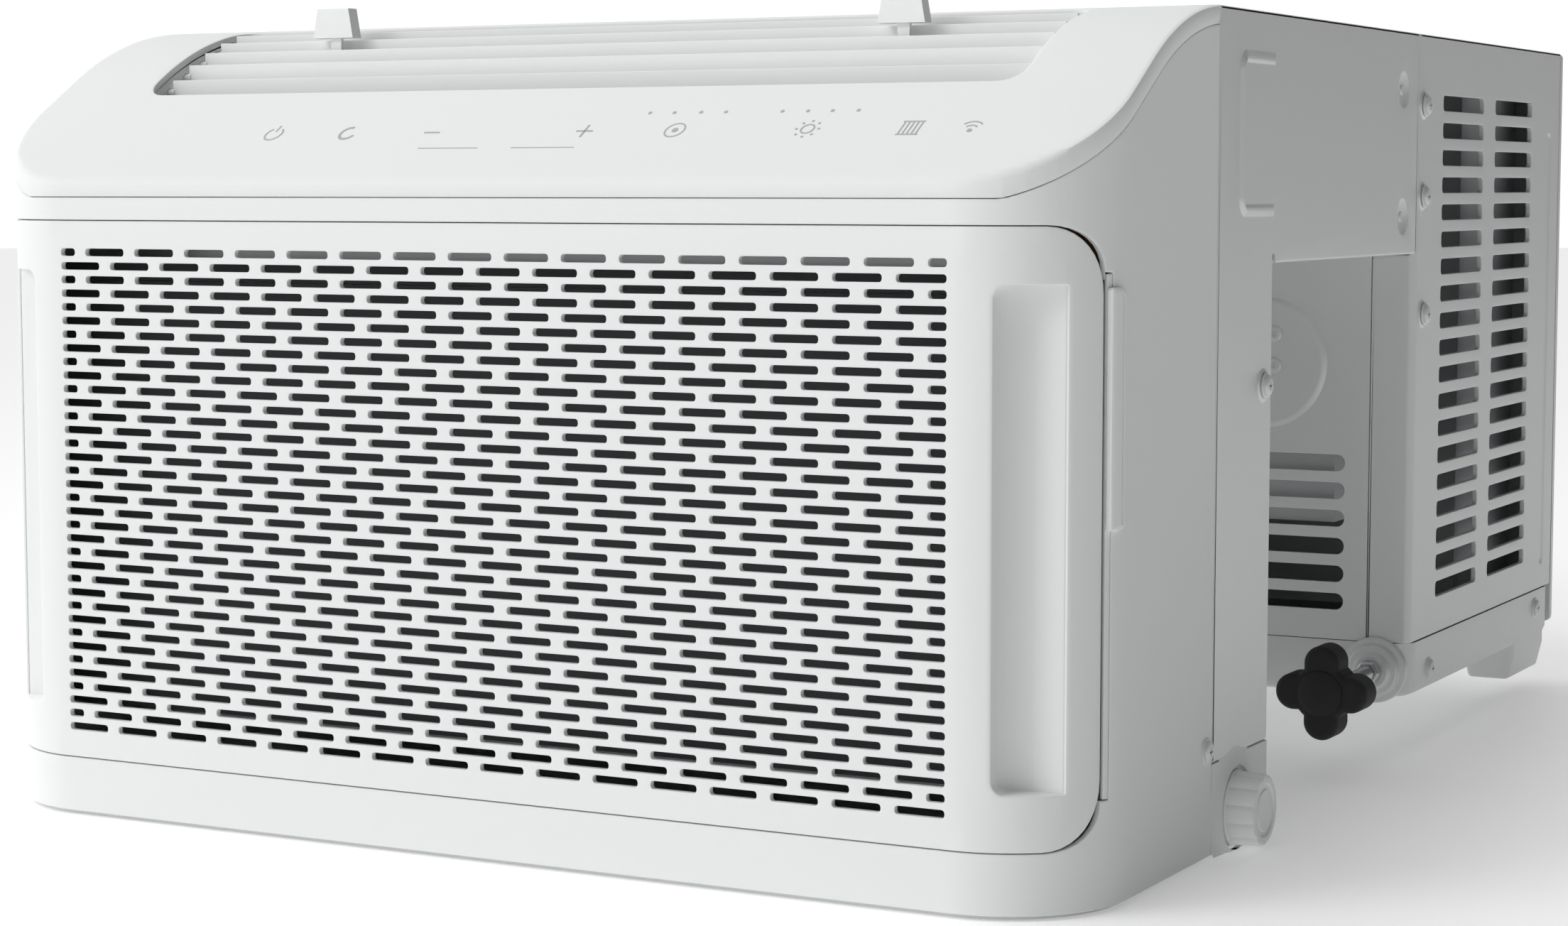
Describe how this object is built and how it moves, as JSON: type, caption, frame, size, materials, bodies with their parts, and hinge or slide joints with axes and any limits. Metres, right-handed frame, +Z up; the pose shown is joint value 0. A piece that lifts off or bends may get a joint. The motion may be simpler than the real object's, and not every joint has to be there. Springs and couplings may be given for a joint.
{
  "type": "window air conditioner",
  "caption": "Over-the-sill window air conditioner: slotted front, sloped panel with top outlet, louvred outdoor half, flat bridge, levelling screws, turning fans.",
  "frame": {"origin": "middle of the flat underside of the indoor base pan, on the cabinet's plane of symmetry", "axes": "+X to the right seen from the room, +Y out through the window, +Z up"},
  "size_m": [0.5804, 0.729, 0.3755],
  "materials": {
    "white_plastic": "moulded, fine satin",
    "vane_plastic": "moulded, satin",
    "painted_steel": "powder coat, satin",
    "grey_plastic": "moulded, matt",
    "dark_plastic": "moulded, matt",
    "black_plastic": "moulded, satin",
    "coil_aluminium": "pressed fins",
    "copper_line": "drawn copper tube",
    "zinc_steel": "zinc plated",
    "black_paint": "satin black",
    "foam": "expanded foam",
    "rubber": "moulded",
    "circuit_board": "solder mask",
    "filter_mesh": "fine nylon net"
  },
  "bodies": {
    "chassis": {"front_casing": "white_plastic", "front_grille": "white_plastic", "top_cover": "white_plastic", "outlet_liner": "white_plastic", "control_board": "circuit_board", "evaporator_coil": "coil_aluminium", "blower_scroll": "grey_plastic", "blower_bearing": "rubber", "blower_motor": "black_paint", "indoor_base_pan": "white_plastic", "drain_spout": "white_plastic", "bridge_side_left": "painted_steel", "bridge_side_right": "painted_steel", "bridge_top": "painted_steel", "sill_plate": "painted_steel", "indoor_back_wall": "painted_steel", "cord_grommet": "black_plastic", "bridge_foam": "foam", "suction_line": "copper_line", "liquid_line": "copper_line", "outdoor_side_left": "painted_steel", "outdoor_side_right": "painted_steel", "outdoor_top": "painted_steel", "outdoor_front_wall": "painted_steel", "outdoor_base_pan": "painted_steel", "rear_guard": "painted_steel", "condenser_coil": "coil_aluminium", "fan_shroud": "grey_plastic", "fan_motor": "black_paint", "fan_motor_bracket": "zinc_steel", "compressor": "black_paint", "accumulator": "black_paint", "electrics_box": "zinc_steel", "level_nut_left": "zinc_steel", "level_nut_right": "zinc_steel"},
    "vane_1": {"outlet_vane_1": "vane_plastic"},
    "vane_2": {"outlet_vane_2": "vane_plastic"},
    "vane_3": {"outlet_vane_3": "vane_plastic"},
    "vane_4": {"outlet_vane_4": "vane_plastic"},
    "vane_5": {"outlet_vane_5": "vane_plastic"},
    "deflector_left": {"deflector_slider_left": "vane_plastic"},
    "blade_left_1": {"deflector_blade_left_1": "vane_plastic"},
    "blade_left_2": {"deflector_blade_left_2": "vane_plastic"},
    "blade_left_3": {"deflector_blade_left_3": "vane_plastic"},
    "blade_left_4": {"deflector_blade_left_4": "vane_plastic"},
    "deflector_right": {"deflector_slider_right": "vane_plastic"},
    "blade_right_1": {"deflector_blade_right_1": "vane_plastic"},
    "blade_right_2": {"deflector_blade_right_2": "vane_plastic"},
    "blade_right_3": {"deflector_blade_right_3": "vane_plastic"},
    "blade_right_4": {"deflector_blade_right_4": "vane_plastic"},
    "filter": {"air_filter_frame": "grey_plastic", "air_filter_mesh": "filter_mesh"},
    "blower": {"blower_wheel": "dark_plastic"},
    "condenser_fan": {"condenser_fan": "dark_plastic"},
    "drain_seal": {"drain_seal": "rubber"},
    "drain_cap": {"drain_cap": "white_plastic"},
    "level_rod_left": {"level_rod_left": "zinc_steel"},
    "level_knob_left": {"level_knob_left": "black_plastic"},
    "level_rod_right": {"level_rod_right": "zinc_steel"},
    "level_knob_right": {"level_knob_right": "black_plastic"}
  },
  "joints": [
    {"name": "vane_1_tilt", "type": "hinge", "parent": "chassis", "child": "vane_1", "pos_m": [0, 0.003, 0.33579], "axis": [1, 0, 0], "range_deg": [-15, 15]},
    {"name": "vane_2_tilt", "type": "hinge", "parent": "chassis", "child": "vane_2", "pos_m": [0, 0.0154, 0.3434], "axis": [1, 0, 0], "range_deg": [-15, 15]},
    {"name": "vane_3_tilt", "type": "hinge", "parent": "chassis", "child": "vane_3", "pos_m": [0, 0.0278, 0.34969], "axis": [1, 0, 0], "range_deg": [-15, 15]},
    {"name": "vane_4_tilt", "type": "hinge", "parent": "chassis", "child": "vane_4", "pos_m": [0, 0.0402, 0.35481], "axis": [1, 0, 0], "range_deg": [-15, 15]},
    {"name": "vane_5_tilt", "type": "hinge", "parent": "chassis", "child": "vane_5", "pos_m": [0, 0.0526, 0.35884], "axis": [1, 0, 0], "range_deg": [-15, 15]},
    {"name": "deflector_left_slide", "type": "slide", "parent": "chassis", "child": "deflector_left", "axis": [1, 0, 0], "range_m": [-0.012, 0.012]},
    {"name": "blade_left_1_swing", "type": "hinge", "parent": "chassis", "child": "blade_left_1", "pos_m": [-0.03, 0.01, 0.2948], "axis": [0, 0, -1], "range_deg": [-30, 30]},
    {"name": "blade_left_2_swing", "type": "hinge", "parent": "chassis", "child": "blade_left_2", "pos_m": [-0.088, 0.01, 0.2948], "axis": [0, 0, -1], "range_deg": [-30, 30]},
    {"name": "blade_left_3_swing", "type": "hinge", "parent": "chassis", "child": "blade_left_3", "pos_m": [-0.146, 0.01, 0.2948], "axis": [0, 0, -1], "range_deg": [-30, 30]},
    {"name": "blade_left_4_swing", "type": "hinge", "parent": "chassis", "child": "blade_left_4", "pos_m": [-0.204, 0.01, 0.2948], "axis": [0, 0, -1], "range_deg": [-30, 30]},
    {"name": "deflector_right_slide", "type": "slide", "parent": "chassis", "child": "deflector_right", "axis": [1, 0, 0], "range_m": [-0.012, 0.012]},
    {"name": "blade_right_1_swing", "type": "hinge", "parent": "chassis", "child": "blade_right_1", "pos_m": [0.03, 0.01, 0.2948], "axis": [0, 0, -1], "range_deg": [-30, 30]},
    {"name": "blade_right_2_swing", "type": "hinge", "parent": "chassis", "child": "blade_right_2", "pos_m": [0.088, 0.01, 0.2948], "axis": [0, 0, -1], "range_deg": [-30, 30]},
    {"name": "blade_right_3_swing", "type": "hinge", "parent": "chassis", "child": "blade_right_3", "pos_m": [0.146, 0.01, 0.2948], "axis": [0, 0, -1], "range_deg": [-30, 30]},
    {"name": "blade_right_4_swing", "type": "hinge", "parent": "chassis", "child": "blade_right_4", "pos_m": [0.204, 0.01, 0.2948], "axis": [0, 0, -1], "range_deg": [-30, 30]},
    {"name": "filter_slide", "type": "slide", "parent": "chassis", "child": "filter", "axis": [1, 0, 0], "range_m": [0, 0.45]},
    {"name": "blower_spin", "type": "hinge", "parent": "chassis", "child": "blower", "pos_m": [0, 0.06725, 0.192], "axis": [1, 0, 0], "continuous": true},
    {"name": "condenser_fan_spin", "type": "hinge", "parent": "chassis", "child": "condenser_fan", "pos_m": [0, 0.522, 0.2125], "axis": [0, 1, 0], "continuous": true},
    {"name": "drain_cap_travel", "type": "slide", "parent": "chassis", "child": "drain_seal", "axis": [1, 0, 0], "range_m": [0, 0.0101]},
    {"name": "drain_cap_turn", "type": "hinge", "parent": "drain_seal", "child": "drain_cap", "pos_m": [0.28, 0.1, 0.0186], "axis": [1, 0, 0], "range_deg": [0, 900]},
    {"name": "level_rod_left_travel", "type": "slide", "parent": "chassis", "child": "level_rod_left", "axis": [0, -1, 0], "range_m": [-0.0126, 0.0126]},
    {"name": "level_knob_left_turn", "type": "hinge", "parent": "level_rod_left", "child": "level_knob_left", "pos_m": [-0.262, 0.272, 0.043], "axis": [0, -1, 0], "range_deg": [-3600, 3600]},
    {"name": "level_rod_right_travel", "type": "slide", "parent": "chassis", "child": "level_rod_right", "axis": [0, -1, 0], "range_m": [-0.0126, 0.0126]},
    {"name": "level_knob_right_turn", "type": "hinge", "parent": "level_rod_right", "child": "level_knob_right", "pos_m": [0.262, 0.272, 0.043], "axis": [0, -1, 0], "range_deg": [-3600, 3600]}
  ],
  "couplings": [
    {"joint": "vane_2_tilt", "follows": "vane_1_tilt", "ratio": 1},
    {"joint": "vane_3_tilt", "follows": "vane_1_tilt", "ratio": 1},
    {"joint": "vane_4_tilt", "follows": "vane_1_tilt", "ratio": 1},
    {"joint": "vane_5_tilt", "follows": "vane_1_tilt", "ratio": 1},
    {"joint": "blade_left_1_swing", "follows": "deflector_left_slide", "rad_per_m": 41.667},
    {"joint": "blade_left_2_swing", "follows": "deflector_left_slide", "rad_per_m": 41.667},
    {"joint": "blade_left_3_swing", "follows": "deflector_left_slide", "rad_per_m": 41.667},
    {"joint": "blade_left_4_swing", "follows": "deflector_left_slide", "rad_per_m": 41.667},
    {"joint": "blade_right_1_swing", "follows": "deflector_right_slide", "rad_per_m": 41.667},
    {"joint": "blade_right_2_swing", "follows": "deflector_right_slide", "rad_per_m": 41.667},
    {"joint": "blade_right_3_swing", "follows": "deflector_right_slide", "rad_per_m": 41.667},
    {"joint": "blade_right_4_swing", "follows": "deflector_right_slide", "rad_per_m": 41.667},
    {"joint": "drain_cap_travel", "follows": "drain_cap_turn", "m_per_rad": 0.00063662},
    {"joint": "level_rod_left_travel", "follows": "level_knob_left_turn", "m_per_rad": 0.00019894},
    {"joint": "level_rod_right_travel", "follows": "level_knob_right_turn", "m_per_rad": 0.00019894}
  ]
}
